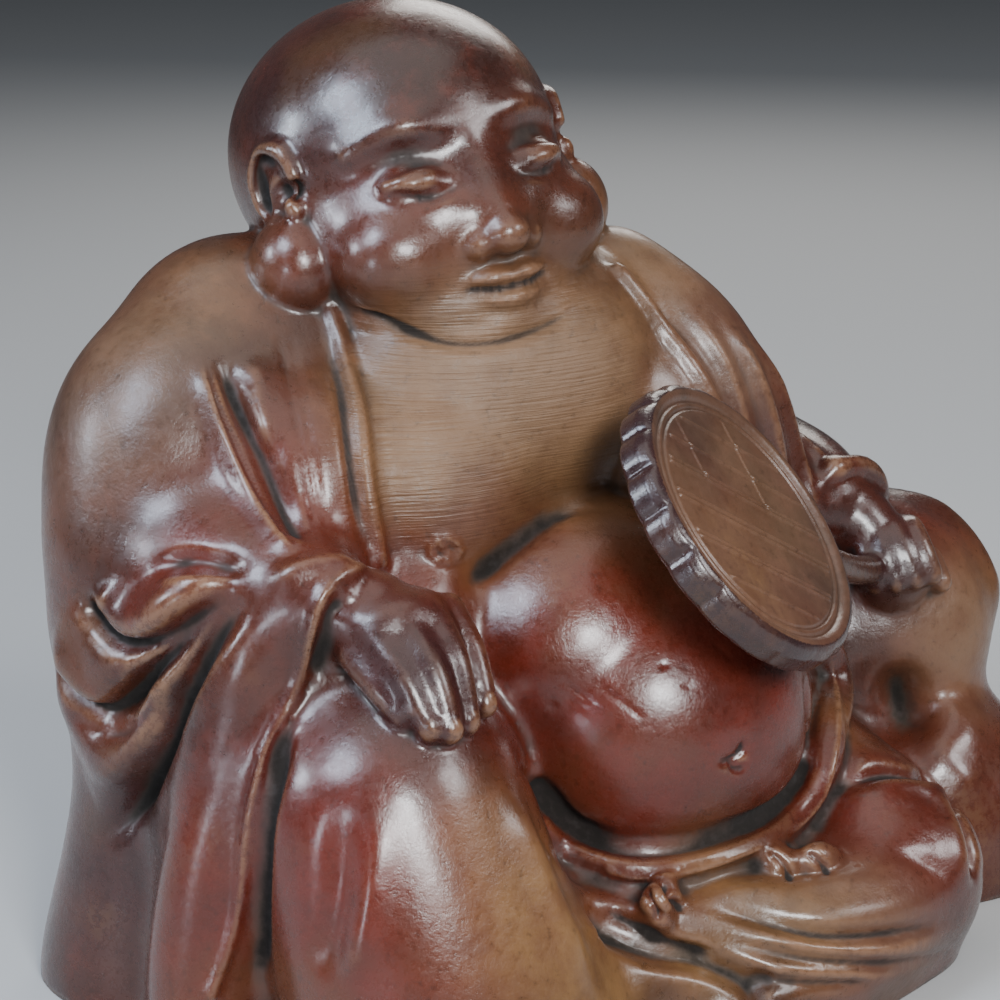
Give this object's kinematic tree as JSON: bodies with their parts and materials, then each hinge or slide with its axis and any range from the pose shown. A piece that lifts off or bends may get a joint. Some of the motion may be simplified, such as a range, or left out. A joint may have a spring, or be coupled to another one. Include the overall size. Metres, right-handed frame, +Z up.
{
  "type": "hotei figure",
  "caption": "Seated, bald, round-bellied figure in a loose robe, one hand on a raised knee and the other holding a round fan; stands on a flat underside.",
  "frame": {"origin": "centre of the bounding box in X and Y, on the flat underside", "axes": "+Z up, the face looks towards -Y, +X is the figure's own left, where the hand with the fan is"},
  "size_m": [0.283, 0.189, 0.2404],
  "materials": {
    "glazed_stoneware": null
  },
  "bodies": {
    "root": {"hotei_figure": "glazed_stoneware"}
  },
  "joints": []
}
